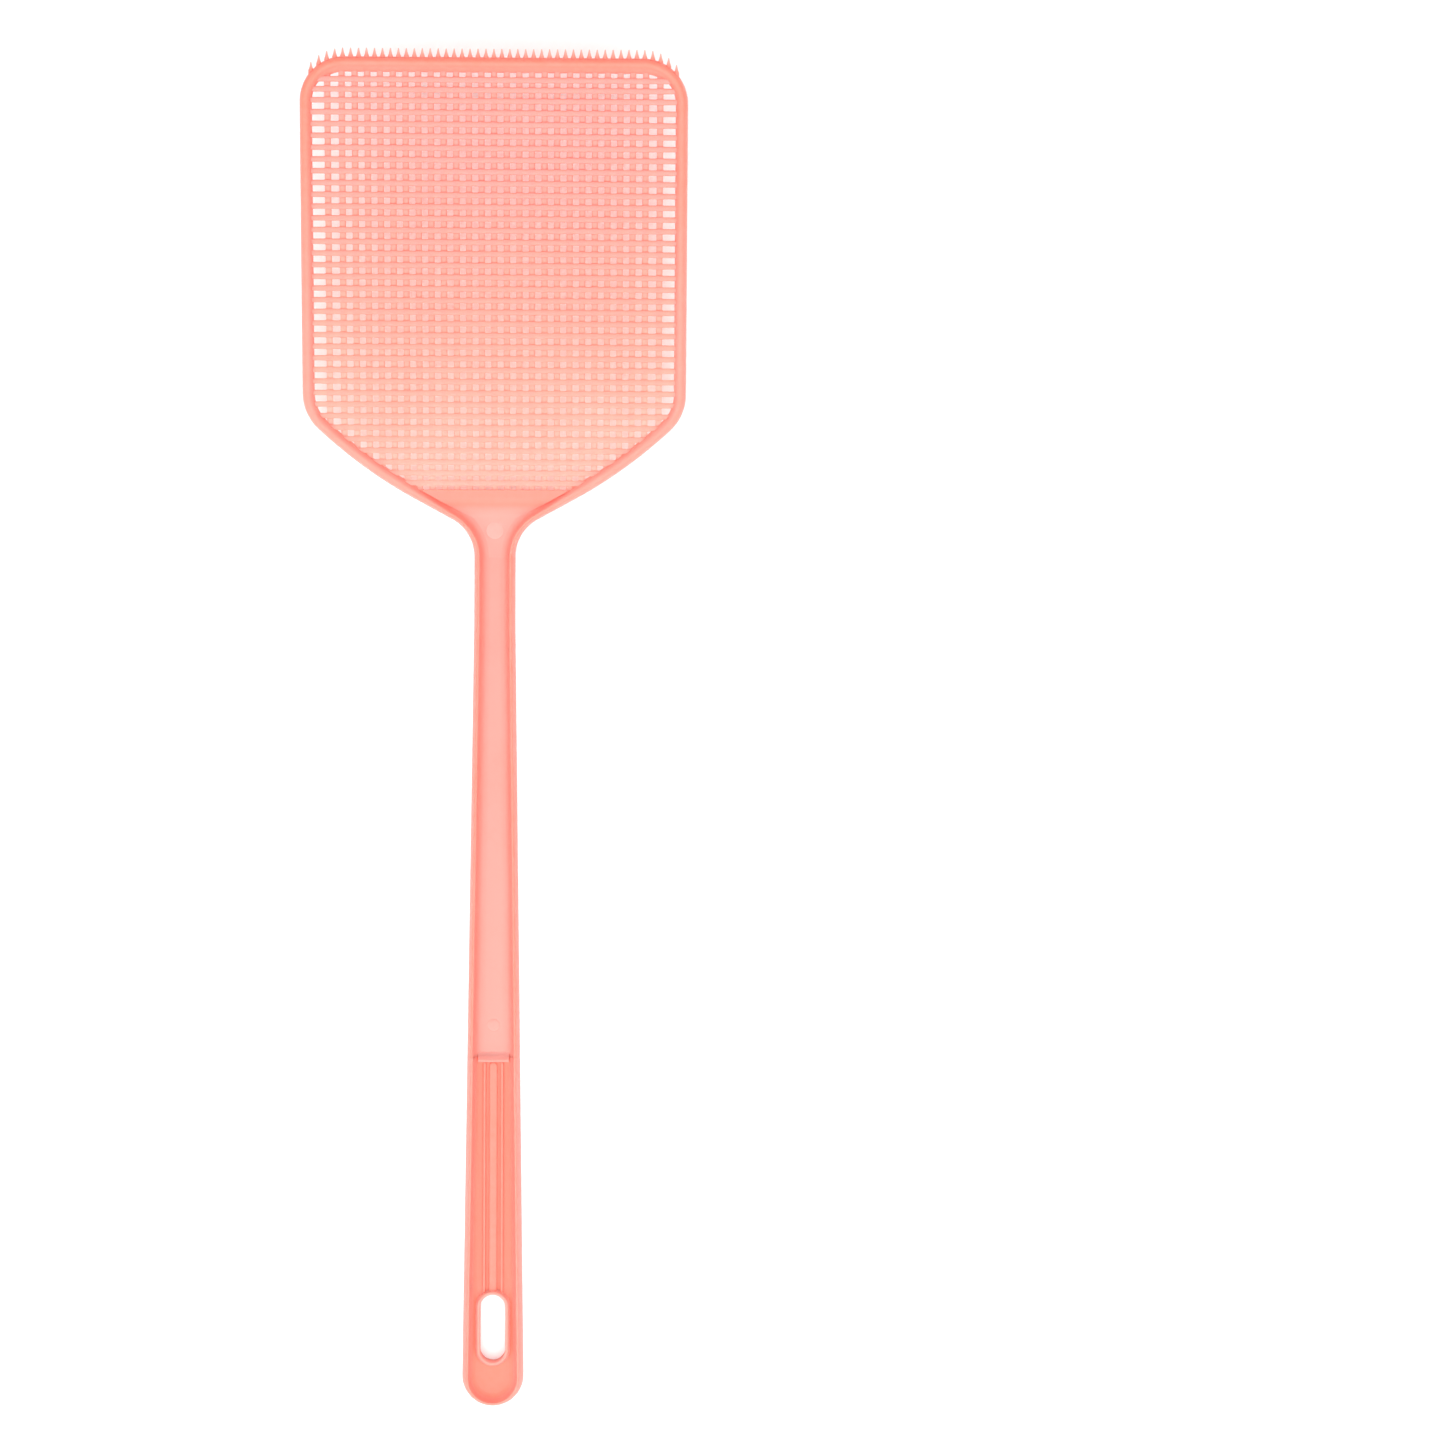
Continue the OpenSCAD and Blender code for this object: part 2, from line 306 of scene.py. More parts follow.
def plastic(name, thin=THIN, deep=DEEP, glow=GLOW, core=CORE, through=0.35):
    """Translucent moulded plastic. It reads deeper where the wall is thicker and where shade is painted in,
    paler where light is painted in, and worn paler on its edges, with a little painted light on the rim's
    inner wall.

    thin and deep colour the surface, glow and core colour the light that comes through a thin and a thick
    wall, and through is the share of the light that comes through.
    """
    made = bpy.data.materials.new(name)
    made.use_nodes = True
    tree = made.node_tree
    tree.nodes.clear()

    def node(kind, **values):
        n = tree.nodes.new(kind)
        for key, value in values.items():
            if key in n.inputs:
                n.inputs[key].default_value = value
            else:
                setattr(n, key, value)
        return n

    def wire(out, into):
        tree.links.new(out, into)

    def noise_of(scale, detail, spread):
        n = node("ShaderNodeTexNoise", Scale=scale, Detail=detail, Roughness=spread)
        wire(place.outputs["Object"], n.inputs["Vector"])
        return n.outputs["Fac"]

    def ranged(value, low, high, out_low, out_high):
        n = node("ShaderNodeMapRange")
        for i, x in enumerate((low, high, out_low, out_high)):
            n.inputs[i + 1].default_value = x
        wire(value, n.inputs["Value"])
        return n.outputs["Result"]

    def maths(operation, a, b):
        n = node("ShaderNodeMath", operation=operation)
        for i, x in enumerate((a, b)):
            if isinstance(x, (int, float)):
                n.inputs[i].default_value = x
            else:
                wire(x, n.inputs[i])
        return n.outputs[0]

    def blend_colour(factor, a, b):
        n = node("ShaderNodeMix", data_type="RGBA")
        for socket, x in ((n.inputs[0], factor), (n.inputs[6], a), (n.inputs[7], b)):
            if isinstance(x, (int, float, tuple)):
                socket.default_value = x
            else:
                wire(x, socket)
        return n.outputs[2]

    # Depth of colour, for wall thickness with painted shade and light, with broad flow marks and a fine cloud
    place = node("ShaderNodeTexCoord")
    thick = node("ShaderNodeAttribute", attribute_name="thick").outputs["Fac"]
    edge = node("ShaderNodeAttribute", attribute_name="edge").outputs["Fac"]
    flow = ranged(noise_of(26, 3, 0.55), 0.3, 0.7, -0.09, 0.09)
    cloud = ranged(noise_of(420, 4, 0.6), 0.3, 0.7, -0.05, 0.05)
    depth = node("ShaderNodeClamp")
    wire(maths("ADD", maths("ADD", thick, flow), cloud), depth.inputs["Value"])
    colour = blend_colour(depth.outputs["Result"], thin, deep)
    # Worn paler on the edges; on the rim's inner wall the same paling is painted light.
    wear_and_light = maths("MULTIPLY", edge, ranged(noise_of(240, 5, 0.65), 0.35, 0.7, 0.05, 0.6))
    colour = blend_colour(wear_and_light, colour, WORN_AND_LIT)

    # Moulded grain, and a roughness that wanders and is a little lower on the edges
    grains = noise_of(2600, 3, 0.6)
    ripple = noise_of(190, 2, 0.5)
    height = maths("ADD", maths("MULTIPLY", grains, 0.35), ripple)
    bump = node("ShaderNodeBump", Strength=0.12, Distance=0.0004)
    wire(height, bump.inputs["Height"])
    gloss = ranged(noise_of(330, 4, 0.6), 0.3, 0.7, 0.34, 0.52)
    gloss = maths("SUBTRACT", gloss, maths("MULTIPLY", edge, 0.06))

    # The surface, mixed with the light that comes through
    skin = node("ShaderNodeBsdfPrincipled", IOR=1.49)
    wire(colour, skin.inputs["Base Color"])
    wire(gloss, skin.inputs["Roughness"])
    wire(bump.outputs["Normal"], skin.inputs["Normal"])
    inner = node("ShaderNodeBsdfTranslucent")
    wire(blend_colour(depth.outputs["Result"], glow, core), inner.inputs["Color"])
    both = node("ShaderNodeMixShader", Fac=through)
    wire(skin.outputs[0], both.inputs[1])
    wire(inner.outputs[0], both.inputs[2])
    out = node("ShaderNodeOutputMaterial")
    wire(both.outputs[0], out.inputs["Surface"])
    return made


EDGE_PLASTIC = plastic("edge_plastic")
FLOOR_PLASTIC = plastic("floor_plastic")
MESH_PLASTIC = plastic(
    "mesh_plastic", thin=(1.0, 0.63, 0.56, 1), deep=(1.0, 0.99, 0.90, 1), glow=(1.0, 0.85, 0.79, 1),
    core=(1.0, 0.22, 0.05, 1), through=0.7,
)
# Paler plastic for the spikes and the ejector marks; on the grip's stop rib and the slot wall it also carries
# painted light.
PALE_PLASTIC = plastic("pale_plastic", thin=(1.0, 0.68, 0.62, 1), glow=(1.0, 0.70, 0.64, 1), through=0.5)

# ---------------------------------------------------------------- flange and rim sections

# Each row: distance inwards from the outer edge, height, wall thickness (0 thin to 1 thick), edge wear. The
# thickness column also holds painted shade on the outer flanks, which the lamps light, and painted light on
# the inner walls, where shade falls in the channel; on RIM's inner wall the edge wear is painted light as
# well. The crests of CHANNEL and GRIP are 0.3 to 0.5 nearer the outer edge than in the CAD, and RIM's inner
# wall slopes more gently.
CHANNEL = [
    (0.30, 0.00, 0.2, 0.0), (0.07, 0.10, 0.1, 0.3), (0.00, 0.40, 0.2, 0.4), (0.40, 2.25, 0.3, 0.1),
    (0.74, 3.95, 0.5, 0.1), (1.05, 5.40, 0.7, 0.1), (1.16, 5.78, 0.8, 0.3), (1.34, 5.96, 0.8, 0.3),
    (1.56, 6.00, 0.7, 0.2), (1.78, 5.95, 0.5, 0.2), (1.94, 5.74, 0.3, 0.1), (2.08, 5.20, 0.1, 0.1),
    (2.32, 4.20, 0.1, 0.1), (2.62, 3.25, 0.1, 0.0), (3.02, 2.50, 0.1, 0.0), (3.52, 2.00, 0.1, 0.0),
    (4.12, 1.72, 0.1, 0.0), (4.80, 1.59, 0.1, 0.0), (4.60, 1.35, 0.1, 0.0), (4.10, 0.80, 0.1, 0.0),
    (3.60, 0.30, 0.1, 0.0), (3.30, 0.00, 0.1, 0.0),
]
RIM = [
    (0.40, 1.80, 0.3, 0.0), (0.12, 1.92, 0.1, 0.3), (0.00, 2.30, 0.0, 0.4), (0.10, 3.20, 0.0, 0.1),
    (0.28, 4.10, 0.1, 0.0), (0.58, 4.95, 0.2, 0.1), (0.95, 5.52, 0.3, 0.2), (1.40, 5.86, 0.4, 0.3),
    (1.90, 6.00, 0.4, 0.2), (2.30, 5.95, 0.3, 0.2), (2.70, 5.76, 0.2, 0.2), (3.06, 5.42, 0.1, 0.2),
    (3.38, 4.94, 0.0, 0.2), (3.64, 4.40, 0.0, 0.2), (3.84, 3.84, 0.0, 0.2), (3.95, 3.35, 0.0, 0.2),
    (4.00, 2.95, 0.0, 0.1), (4.00, 2.60, 0.0, 0.0), (3.92, 2.25, 0.1, 0.0), (3.75, 1.98, 0.1, 0.0),
    (3.50, 1.84, 0.1, 0.0), (3.20, 1.80, 0.1, 0.0),
]
GRIP = [
    (0.30, 0.00, 0.2, 0.0), (0.07, 0.10, 0.1, 0.3), (0.00, 0.40, 0.0, 0.4), (0.44, 2.25, 0.1, 0.1),
    (0.84, 3.95, 0.3, 0.1), (1.20, 5.40, 0.5, 0.1), (1.32, 5.78, 0.6, 0.3), (1.50, 5.96, 0.6, 0.3),
    (1.72, 6.00, 0.5, 0.2), (1.96, 5.95, 0.5, 0.2), (2.12, 5.74, 0.3, 0.1), (2.26, 5.20, 0.1, 0.1),
    (2.46, 4.50, 0.1, 0.1), (2.72, 3.80, 0.2, 0.0), (3.05, 3.25, 0.4, 0.0), (3.50, 2.85, 0.8, 0.0),
    (4.05, 2.66, 1.0, 0.0), (4.70, 2.59, 1.0, 0.0), (4.50, 2.10, 0.6, 0.0), (4.10, 1.20, 0.5, 0.0),
    (3.60, 0.40, 0.5, 0.0), (3.30, 0.00, 0.5, 0.0),
]
# The first rows of a section run from the outer edge over the crest to the floor, and the last few lie
# underneath. Fewer still belong to the flange alone.
TOP_ROWS = 18
FLANGE_ROWS = 16

# The channel's section gives way to the rim's between these two distances from the neck.
RIM_START_S = 9.0
RIM_FULL_S = 25.0
RIM_SHADE = 0.55
RIM_SHADE_START = 60.0
RIM_SHADE_END = 160.0
TOP_LAND = 0.9


def shades(section):
    """The depth of colour column, wall thickness with painted shade and light, and the edge wear column of a
    section.
    """
    return [p[2] for p in section], [p[3] for p in section]


def with_land(section, width):
    """The section with the foot of its inner wall moved inwards, below the crest."""
    moved = []
    for d, z, thick, edge in section:
        foot = smooth(3.5, 3.9, d) * smooth(4.6, 4.3, z)
        moved.append((d + width * foot, z, thick, edge))
    return moved


def head_rim():
    """The rim of the head, which becomes the two flanges of the throat.

    Along the top its inner wall has a wider foot, and its colour is deeper there.
    """
    solid = Solid()
    rings, thick, edge = [], [], []
    for x, s, nx, ns in OUTLINE:
        k = smooth(RIM_START_S, RIM_FULL_S, s)
        section = [tuple(mix(a, b, k) for a, b in zip(c, r)) for c, r in zip(CHANNEL, RIM)]
        section = with_land(section, TOP_LAND * smooth(0.5, 1.0, -ns))
        deeper = RIM_SHADE * smooth(RIM_SHADE_START, RIM_SHADE_END, s) * k
        walls, wear = shades(section)
        rings.append([head_point(x + nx * d, s + ns * d, z) for d, z, _, _ in section])
        thick.append([min(1, t + deeper) for t in walls])
        edge.append(wear)
    solid.rings(rings, thick, edge)
    return solid.piece("head_rim", EDGE_PLASTIC)


def channel_ring(half, section, floor_z, floor_thick, place):
    """One ring of the open channel: right flange, floor, left flange and back underneath."""
    right = []
    for i, (d, z, thick, edge) in enumerate(section[:TOP_ROWS]):
        right.append((half - d, z, thick if i < FLANGE_ROWS else max(thick, floor_thick), edge))
    left = [(-x, z, thick, edge) for x, z, thick, edge in reversed(right)]
    floor_half = right[-1][0]
    floor = [(floor_half * f, floor_z, floor_thick, 0.0) for f in (0.66, 0.33, 0.0, -0.33, -0.66)]
    base_half = half - section[-1][0]
    base = [(x, 0.0, max(0.1, floor_thick), 0.0) for x in (-base_half, 0.0, base_half)]
    ring = right + floor + left + base
    return [place(x, z) for x, z, _, _ in ring], *shades(ring)


def channel_piece(name, stations, section, floor_z, floor_thick, material):
    """A run of the channel through stations, each a half width and a placing function."""
    solid = Solid()
    rows = [channel_ring(half, section, floor_z, floor_thick, place) for half, place in stations]
    solid.rings(*zip(*rows))
    return solid.piece(name, material)


def handle_stations(u0, u1, step):
    """Half widths and placing functions along the handle, about one step apart."""
    count = max(1, round((u1 - u0) / step))
    places = [u0 + (u1 - u0) * i / count for i in range(count + 1)]
    return [(handle_half(u), lambda x, z, u=u: handle_point(x, u, z)) for u in places]


def neck():
    """The slim neck that bends. Its last ring lies in the plane where the head begins."""
    stations = handle_stations(FLEX_START, HANDLE_LEN - 1, 1)
    stations.append((NECK_HALF, lambda x, z: head_point(x, 0, z)))
    return channel_piece("neck", stations, CHANNEL, FLOOR_T, 0.0, FLOOR_PLASTIC)


# ---------------------------------------------------------------- mesh of the head


def bar_profile(width, low, high, crown):
    """Section of a bar with a flat base and rounded shoulders: offset, height, edge wear."""
    half = width / 2
    side = [
        (half, low, 0), (half, mix(low, high, 0.45), 0), (mix(crown, half, 0.8), mix(low, high, 0.78), 0.1),
        (mix(crown, half, 0.4), mix(low, high, 0.95), 0.3), (crown, high, 0.2),
    ]
    return [(-offset, z, wear) for offset, z, wear in side] + [(0, high, 0.1)] + side[::-1]


def long_bar_places():
    """x of each bar up the head. The outermost bar on either side stands further out."""
    regular = [i * COL_PITCH for i in range(-REGULAR_BARS, REGULAR_BARS + 1)]
    near = (REGULAR_BARS + 1) * COL_PITCH + SIDE_COL_SHIFT
    far = near + SIDE_COL_PITCH
    return [-far, -near] + regular + [near, far]


def mesh_shade(s):
    """Depth of colour of the bars, which grows towards the tip."""
    return 0.9 * smooth(0, MESH_DEEPEST_S, s)


def cross_bars():
    """Upper layer: bars across the head, a little wider where they meet the long bars."""
    solid = Solid()
    line = margin_line(BAR_MARGIN)
    profile = bar_profile(CROSS_BAR_W, MESH_Z + BAR_T - BAR_SINK, MESH_Z + 2 * BAR_T, CROSS_CROWN)
    wear = [p[2] for p in profile]
    # distance from the middle of a long bar, and how much wider each side of the bar is there
    swell = [(-1.4, 0), (-1.2, 0.04), (-1.02, 0.15), (0, 0.16), (1.02, 0.15), (1.2, 0.04), (1.4, 0)]
    for i in range(ROWS - 1):
        mid = (row_s(i) + row_s(i + 1)) / 2
        reach = [reading(line, 1, mid + p[0], 0) for p in profile]
        inside = min(reach) - 0.4
        marks = [(c + dx, w) for c in long_bar_places() for dx, w in swell if abs(c + dx) < inside]
        rings = [[head_point(-r, mid + p[0], p[1]) for r, p in zip(reach, profile)]]
        for x, w in marks:
            wider = 1 + 2 * w / CROSS_BAR_W
            rings.append([head_point(x, mid + p[0] * wider, p[1]) for p in profile])
        rings.append([head_point(r, mid + p[0], p[1]) for r, p in zip(reach, profile)])
        shade = 0.1 + mesh_shade(mid)
        solid.rings(rings, [[shade] * len(profile)] * len(rings), [wear] * len(rings))
    return solid.piece("head_cross_bars", MESH_PLASTIC)


def long_bars():
    """Lower layer: bars up the head, with a narrow flat crown."""
    solid = Solid()
    line = margin_line(BAR_MARGIN)
    lower = [p for p in line if p[1] < LOW_S]
    upper = [p for p in line if p[1] > HEAD_LEN - TOP_R - 1]
    profile = bar_profile(LONG_BAR_W, MESH_Z, MESH_Z + BAR_T + LONG_BAR_RISE, LONG_CROWN)
    wear = [p[2] for p in profile]
    steps = [i / 36 for i in range(37)]
    thick = [[mesh_shade(mix(WEB_TOP_S, HEAD_LEN, k))] * len(profile) for k in steps]
    for x in long_bar_places():
        ends = []
        for p in profile:
            across = abs(x + p[0])
            low = WEB_TOP_S - BAR_UNDER_WEB
            if across > NECK_HALF:
                low = max(low, reading(lower, 0, across, 1))
            ends.append((low, reading(upper, 0, across, 1)))
        rings = [[head_point(x + p[0], mix(*span, k), p[1]) for p, span in zip(profile, ends)] for k in steps]
        solid.rings(rings, thick, [wear] * len(rings))
    return solid.piece("head_long_bars", MESH_PLASTIC)


def top_edge_s(x):
    """Where the head's top edge lies, round both corners."""
    over = max(0.0, abs(x) - (HALF_W - TOP_R))
    return HEAD_LEN - TOP_R + math.sqrt(TOP_R * TOP_R - over * over)


def tip_spikes():
    """Small tapered spikes that all point the same way, from one top corner to the other."""
    solid = Solid()
    around = 12
    turns = [math.tau * j / around for j in range(around)]
    # distance out from the edge, and radius there as a share of SPIKE_R
    steps = [
        (-1.2, 1.8), (0.0, 1.7), (0.4, 1.4), (0.9, 1.05), (1.4, 0.8), (1.9, 0.6), (2.3, 0.45), (2.55, 0.3),
        (SPIKE_LEN, 0.2),
    ]
    along = [max(0, out) / SPIKE_LEN for out, _ in steps]
    thick = [[0.7 - 0.5 * k] * around for k in along]
    edge = [[0.6 * k] * around for k in along]
    for i in range(SPIKES):
        x = (i - (SPIKES - 1) / 2) * SPIKE_PITCH
        base = top_edge_s(x)
        rings = []
        for out, share in steps:
            wide, deep = SPIKE_R * share, SPIKE_R * min(1, share)
            rings.append([
                head_point(x + wide * math.cos(a), base + out, SPIKE_Z + deep * math.sin(a)) for a in turns
            ])
        solid.rings(rings, thick, edge)
    return solid.piece("tip_spikes", PALE_PLASTIC)


# ---------------------------------------------------------------- throat


def web_heights(s):
    """Underside and top of the web: it steps up from the handle's floor to the level of the mesh."""
    k = smooth(WEB_STEP_START, WEB_STEP_END, s)
    return mix(0.0, MESH_Z, k), mix(FLOOR_T, MESH_Z + 2 * BAR_T, k)


def throat_plate():
    """The solid web between the two flanges of the throat, up to the mesh's last row."""
    solid = Solid()
    line = margin_line(WEB_MARGIN)
    across, count = 12, 46
    rings, thick = [], []
    for i in range(count + 1):
        s = WEB_TOP_S * i / count
        half = reading(line, 1, max(s, line[0][1]), 0)
        low, high = web_heights(s)
        shade = 0.65 * smooth(WEB_SHADE_START, WEB_SHADE_END, s)
        xs = [half * (1 - 2 * j / across) for j in range(across + 1)]
        rings.append([head_point(x, s, high) for x in xs] + [head_point(x, s, low) for x in reversed(xs)])
        thick.append([shade] * len(rings[-1]))
    solid.rings(rings, thick, [[0.0] * len(rings[0])] * len(rings))
    return solid.piece("throat_plate", FLOOR_PLASTIC)


def disc(name, place, radius, shade):
    """A round ejector mark on the floor of the channel, a low dome with a soft edge."""
    solid = Solid()
    around = 40
    turns = [math.tau * j / around for j in range(around)]
    # share of the radius, height above the floor, edge wear
    steps = [
        (1.0, -0.3, 0), (1.0, 0.01, 0.1), (0.9, MARK_H * 0.3, 0.2), (0.75, MARK_H * 0.65, 0.4),
        (0.55, MARK_H * 0.9, 0.4), (0.3, MARK_H, 0.3),
    ]
    rings = []
    for share, rise, _ in steps:
        r = share * radius
        rings.append([place(r * math.cos(a), r * math.sin(a), FLOOR_T + rise) for a in turns])
    solid.rings(rings, [[shade] * around] * len(rings), [[wear] * around for _, _, wear in steps])
    return solid.piece(name, PALE_PLASTIC)


# ---------------------------------------------------------------- grip


def rounded_end(t, length, radius):
    """Share of full width near either end of a rib with rounded ends."""
    d = min(t, length - t)
    if d >= radius:
        return 1.0
    return math.sqrt(max(0.0, 1 - ((radius - d) / radius) ** 2))


def rib(name, x, width, shade):
    """A lengthwise rib of the grip, with a rounded crown and rounded ends."""
    solid = Solid()
    half = width / 2
    low, high = GRIP_FLOOR_T - RIB_SINK, GRIP_RIB_H
    # share of the half width, height, edge wear
    side = [
        (1.0, low, 0), (1.0, mix(low, high, 0.6), 0), (0.92, mix(low, high, 0.84), 0.1),
        (0.7, mix(low, high, 0.96), 0.2), (0.35, high, 0.2),
    ]
    profile = [(-share, z, wear) for share, z, wear in side] + side[::-1]
    length = GRIP_FLOOR_END - RIB_START
    ends = [half * share for share in (0.02, 0.1, 0.25, 0.45, 0.7, 1.0)]
    places = sorted(ends + [length * i / 40 for i in range(1, 40)] + [length - t for t in ends])
    rings = []
    for t in places:
        share = max(0.12, rounded_end(t, length, half))
        drop = (1 - share) * 0.35
        ring = [(x + half * share * dx, max(low, z - drop)) for dx, z, _ in profile]
        rings.append([handle_point(rib_x, RIB_START + t, z) for rib_x, z in ring])
    solid.rings(rings, [[shade] * len(profile)] * len(rings), [[p[2] for p in profile]] * len(rings))
    return solid.piece(name, FLOOR_PLASTIC)


# Each row: distance up the handle from the rib's grip side, height, wall thickness, edge wear. The crest is
# 0.9 lower than in the CAD, and the far side is a long slope. Down that slope the thickness column is near 0,
# in the pale plastic, as painted light on a slope that faces away from the lamps.
STOP = [
    (0.00, 1.00, 0.3, 0.0), (0.00, 3.30, 0.3, 0.0), (0.12, 3.80, 0.3, 0.1), (0.35, 4.05, 0.4, 0.2),
    (0.70, 4.10, 0.5, 0.1), (1.00, 3.95, 0.3, 0.1), (1.35, 3.55, 0.1, 0.0), (1.75, 3.05, 0.0, 0.0),
    (2.15, 2.55, 0.0, 0.0), (2.55, 2.10, 0.0, 0.0), (2.95, 1.75, 0.1, 0.0), (3.40, 1.55, 0.4, 0.0),
    (2.60, 1.00, 0.6, 0.0),
]


def grip_stop():
    """The cross rib at the top of the grip, in the pale plastic, with painted light down its far slope."""
    solid = Solid()
    count = 12
    rings = []
    for i in range(count + 1):
        k = 1 - 2 * i / count
        ring = []
        for t, z, _, _ in STOP:
            u = GRIP_FLOOR_END + t
            ring.append(handle_point(k * (handle_half(u) - STOP_MARGIN), u, z))
        rings.append(ring)
    thick, edge = shades(STOP)
    solid.rings(rings, [thick] * len(rings), [edge] * len(rings))
    return solid.piece("grip_stop", PALE_PLASTIC)


# ---------------------------------------------------------------- hang end


def end_path():
    """The hang end's outer edge, from the right side round to the left: x, u and the inward normal."""
    right = []
    for i in range(13):
        u = mix(HANG_END_TOP, END_HALF, i / 12)
        right.append((handle_half(u), u, -1.0, 0.0))
    round_end = arc((0.0, END_HALF), END_HALF, 0.0, -math.pi, 48)[1:-1]
    left = [(-x, u, -nx, nu) for x, u, nx, nu in reversed(right)]
    return right + round_end + left


def hang_end_edge():
    """The flange round the hang end."""
    solid = Solid()
    rings = [[handle_point(x + nx * d, u + nu * d, z) for d, z, _, _ in GRIP] for x, u, nx, nu in end_path()]
    thick, edge = shades(GRIP)
    solid.rings(rings, [thick] * len(rings), [edge] * len(rings))
    return solid.piece("hang_end_edge", EDGE_PLASTIC)


def stadium(half):
    """Points round the slot at a half width, from the right side over the top end and round the bottom."""
    points = []
    for side, start in ((1, 0.0), (-1, math.pi)):
        for i in range(21):
            a = start + math.pi * i / 20
            points.append((half * math.cos(a), SLOT_MID + side * STRAIGHT_HALF + half * math.sin(a)))
    return points


# Each row: distance outwards from the slot, height, wall thickness, edge wear. The low wall thickness on the
# outer foot, below the top, is painted light on a face that the overhead lamp leaves in shade.
SLOT_SIDE = [
    (0.00, 0.00, 0.5, 0.0), (0.00, 4.40, 0.3, 0.1), (0.08, 4.76, 0.3, 0.4), (0.28, 4.95, 0.3, 0.5),
    (0.58, 5.00, 0.5, 0.4), (0.88, 4.94, 0.5, 0.2), (1.08, 4.72, 0.4, 0.1), (1.15, 4.30, 0.2, 0.0),
    (1.20, 3.20, 0.1, 0.0), (1.40, 2.80, 0.3, 0.0), (1.75, 2.59, 0.8, 0.0), (1.30, 1.80, 0.7, 0.0),
    (1.15, 0.00, 0.6, 0.0),
]


def slot_wall():
    """The raised wall round the slot."""
    solid = Solid()
    lines = [[(x, u, row[1]) for x, u in stadium(SLOT_W / 2 + row[0])] for row in SLOT_SIDE]
    rings = [[handle_point(*p) for p in ring] for ring in zip(*lines)]
    thick, edge = shades(SLOT_SIDE)
    solid.rings(rings, [thick] * len(rings), [edge] * len(rings), loop=True)
    return solid.piece("slot_wall", PALE_PLASTIC)


def plate_edge(x, u, half):
    """Where the hang end's plate meets the flange, straight out from a point of its hole."""
    side = 1 if x >= 0 else -1
    if u > SLOT_MID + STRAIGHT_HALF:
        # beyond the slot's top end: up the side to a square corner, then along the plate's end
        corner = 0.625
        k = (u - SLOT_MID - STRAIGHT_HALF) / half
        far_u = mix(SLOT_MID + STRAIGHT_HALF, HANG_END_TOP, min(1, k / corner))
        reach = handle_half(far_u) - PLATE_MARGIN
        if k < corner:
            return side * reach, far_u
        return x / half * reach / math.sqrt(1 - corner ** 2), far_u
    if u < SLOT_MID - STRAIGHT_HALF:
        # beyond its bottom end: round the hang end's own arc
        a = math.atan2(u - (SLOT_MID - STRAIGHT_HALF), x)
        r = END_HALF - PLATE_MARGIN
        return r * math.cos(a), END_HALF + r * math.sin(a)
    return side * (handle_half(u) - PLATE_MARGIN), u


def hang_end_plate():
    """The floor of the hang end, pierced by the slot."""
    half = SLOT_W / 2 + PLATE_UNDER_WALL
    inner = stadium(half)
    outer = [plate_edge(x, u, half) for x, u in inner]
    solid = Solid()
    rings = [
        [handle_point(*p, z) for p in line]
        for line, z in ((inner, GRIP_FLOOR_T), (outer, GRIP_FLOOR_T), (outer, 0), (inner, 0))
    ]
    count = len(inner)
    solid.rings(rings, [[0.95] * count] * 4, [[0.0] * count] * 4, loop=True)
    return solid.piece("hang_end_plate", EDGE_PLASTIC)


# ---------------------------------------------------------------- the pieces and what each stands for


def stand(piece, body, slot, *nodes):
    """Put a piece in the place of CAD nodes, on the body it rides on, if any. slot is not used."""
    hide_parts(*nodes)
    if body:
        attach(piece, body)
    return piece


stand(
    head_rim(), "head", "edge_plastic", "rim_top", "rim_left", "rim_right", "rim_lower_left",
    "rim_lower_right", "throat_left_flange", "throat_right_flange",
)
stand(cross_bars(), "head", "mesh_plastic", "mesh_cross_bars")
stand(long_bars(), "head", "mesh_plastic", "mesh_long_bars")
stand(tip_spikes(), "head", "spike_plastic", "top_spikes")
stand(throat_plate(), "head", "floor_plastic", "throat_web")
stand(
    disc("throat_ejector_mark", lambda x, s, z: head_point(x, THROAT_MARK_S + s, z), THROAT_MARK_R, 0.15),
    "head", "floor_plastic", "throat_ejector_pad",
)
bending = stand(neck(), None, "floor_plastic", "neck_flexure")
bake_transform(bending)
shaft = handle_stations(GRIP_TOP, FLEX_START, 3)
stand(
    channel_piece("shaft_channel", shaft, CHANNEL, FLOOR_T, 0.0, FLOOR_PLASTIC),
    "handle", "floor_plastic", "shaft_floor", "shaft_left_flange", "shaft_right_flange",
)
stand(
    disc("shaft_ejector_mark", lambda x, u, z: handle_point(x, SHAFT_MARK_U + u, z), SHAFT_MARK_R, 0.3),
    "handle", "floor_plastic", "shaft_ejector_pad",
)
stand(grip_stop(), "handle", "edge_plastic", "grip_stop_rib")
grip = handle_stations(HANG_END_TOP, GRIP_TOP, 3)
stand(
    channel_piece("grip_channel", grip, GRIP, GRIP_FLOOR_T, 1.0, EDGE_PLASTIC),
    "handle", "edge_plastic", "grip_floor", "grip_left_flange", "grip_right_flange",
)
stand(rib("grip_centre_rib", 0, CENTRE_RIB_W, 0.8), "handle", "floor_plastic", "grip_centre_rib")
for side, label in ((-1, "left"), (1, "right")):
    name = f"grip_{label}_rib"
    stand(rib(name, side * SIDE_RIB_X, SIDE_RIB_W, 0.75), "handle", "floor_plastic", name)
stand(hang_end_edge(), "handle", "edge_plastic", "hang_end_flange")
stand(hang_end_plate(), "handle", "edge_plastic", "hang_end_floor")
stand(slot_wall(), "handle", "edge_plastic", "hang_slot_ring")

# ---------------------------------------------------------------- camera

# The camera stands over the swatter, a little to its right. CAMERA_TURN and SHIFT take the view further right,
# so the swatter lies left of the picture's middle. VIEW_WIDTH is the width seen at the floor, in millimetres.
CAMERA_H = 1000.0
VIEW_WIDTH = 480.7053
SENSOR_WIDTH = 36
CAMERA_X = 29.65
CAMERA_Y = 4.6
CAMERA_TURN = math.radians(1.43)
CAMERA_ROLL = math.radians(0.15)
SHIFT = 0.044

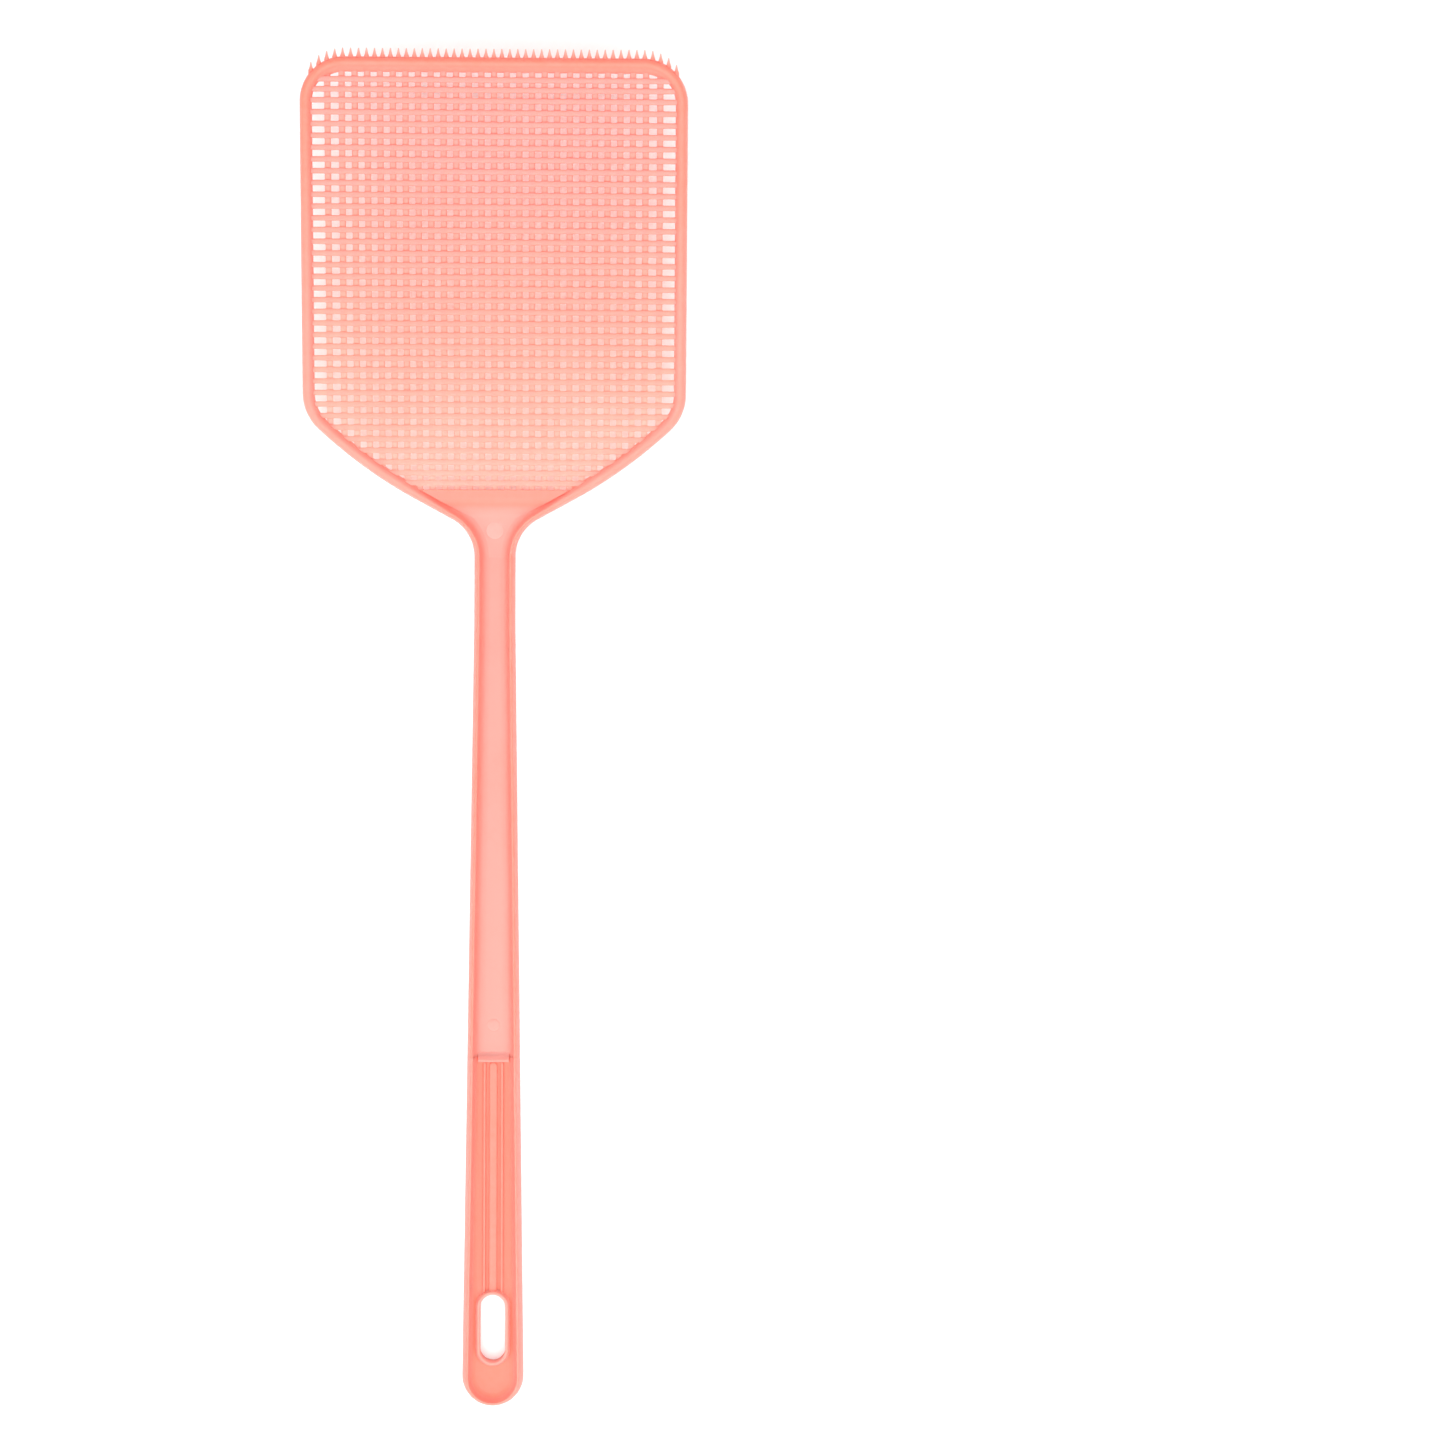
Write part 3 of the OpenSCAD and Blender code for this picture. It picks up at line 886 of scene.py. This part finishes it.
camera_data = bpy.data.cameras.new("camera")
camera_data.sensor_width = SENSOR_WIDTH
camera_data.lens = SENSOR_WIDTH * CAMERA_H / VIEW_WIDTH
camera_data.shift_x = SHIFT
camera_data.clip_start = 0.05
camera_data.clip_end = 20
camera = bpy.data.objects.new("camera", camera_data)
camera.location = Vector((CAMERA_X, CAMERA_Y, CAMERA_H)) * MM
camera.rotation_euler = (0, -CAMERA_TURN, CAMERA_ROLL)
bpy.context.scene.collection.objects.link(camera)
bpy.context.scene.camera = camera

# ---------------------------------------------------------------- floor and light, in metres

FLOOR_HALF = 14.0
FLOOR_Z = -0.00005
FLOOR_GLOW = 0.06
FAR_GLOW = 1.0
GLOW_START = 0.8
GLOW_END = 2.4
SKY = 0.25
HORIZON = 1.0
HORIZON_Z = 0.1
SKY_Z = 0.4


def rising(tree, value, low, high, out_low, out_high):
    """A smooth ramp of a value, used for light that changes with distance or height."""
    ramp = tree.nodes.new("ShaderNodeMapRange")
    ramp.interpolation_type = "SMOOTHSTEP"
    for i, x in enumerate((low, high, out_low, out_high)):
        ramp.inputs[i + 1].default_value = x
    tree.links.new(value, ramp.inputs["Value"])
    return ramp.outputs["Result"]


def floor():
    """A plain pale floor, with a glow that grows outwards and keeps it white far from the lamps."""
    mesh = bpy.data.meshes.new("floor")
    corners = [(x * FLOOR_HALF, y * FLOOR_HALF, FLOOR_Z) for x, y in ((-1, -1), (1, -1), (1, 1), (-1, 1))]
    mesh.from_pydata(corners, [], [(0, 1, 2, 3)])
    made = bpy.data.materials.new("floor_paper")
    made.use_nodes = True
    tree = made.node_tree
    skin = tree.nodes["Principled BSDF"]
    skin.inputs["Base Color"].default_value = (0.94, 0.94, 0.94, 1)
    skin.inputs["Roughness"].default_value = 0.7
    skin.inputs["Emission Color"].default_value = (1, 1, 1, 1)
    place = tree.nodes.new("ShaderNodeTexCoord")
    away = tree.nodes.new("ShaderNodeVectorMath")
    away.operation = "LENGTH"
    tree.links.new(place.outputs["Object"], away.inputs[0])
    glow = rising(tree, away.outputs["Value"], GLOW_START, GLOW_END, FLOOR_GLOW, FAR_GLOW)
    tree.links.new(glow, skin.inputs["Emission Strength"])
    mesh.materials.append(made)
    plane = bpy.data.objects.new("floor", mesh)
    bpy.context.scene.collection.objects.link(plane)


def sky():
    """Even soft light from above, brighter at the horizon."""
    world = bpy.data.worlds.new("world")
    world.use_nodes = True
    tree = world.node_tree
    back = tree.nodes["Background"]
    back.inputs["Color"].default_value = (1, 1, 1, 1)
    place = tree.nodes.new("ShaderNodeTexCoord")
    parts = tree.nodes.new("ShaderNodeSeparateXYZ")
    tree.links.new(place.outputs["Generated"], parts.inputs[0])
    light = rising(tree, parts.outputs["Z"], HORIZON_Z, SKY_Z, HORIZON, SKY)
    tree.links.new(light, back.inputs["Strength"])
    bpy.context.scene.world = world


def soft_box(name, place, width, height, power):
    """A large soft lamp that points at the middle of the floor."""
    data = bpy.data.lights.new(name, "AREA")
    data.shape = "RECTANGLE"
    data.size = width
    data.size_y = height
    data.energy = power
    lamp = bpy.data.objects.new(name, data)
    lamp.location = place
    lamp.rotation_euler = (-Vector(place)).to_track_quat("-Z", "Y").to_euler()
    bpy.context.scene.collection.objects.link(lamp)


floor()
soft_box("overhead", (0, -0.4, 1.7), 2.6, 2.4, 48)
soft_box("left_side", (-1.2, -0.1, 1.0), 1.6, 0.8, 7)
soft_box("right_side", (1.2, -0.3, 1.2), 1.6, 0.8, 5)
soft_box("hang_end_side", (0, -1.4, 0.9), 1.4, 0.8, 6)
sky()
bpy.context.scene.view_settings.view_transform = "Standard"
bpy.context.scene.view_settings.exposure = 0
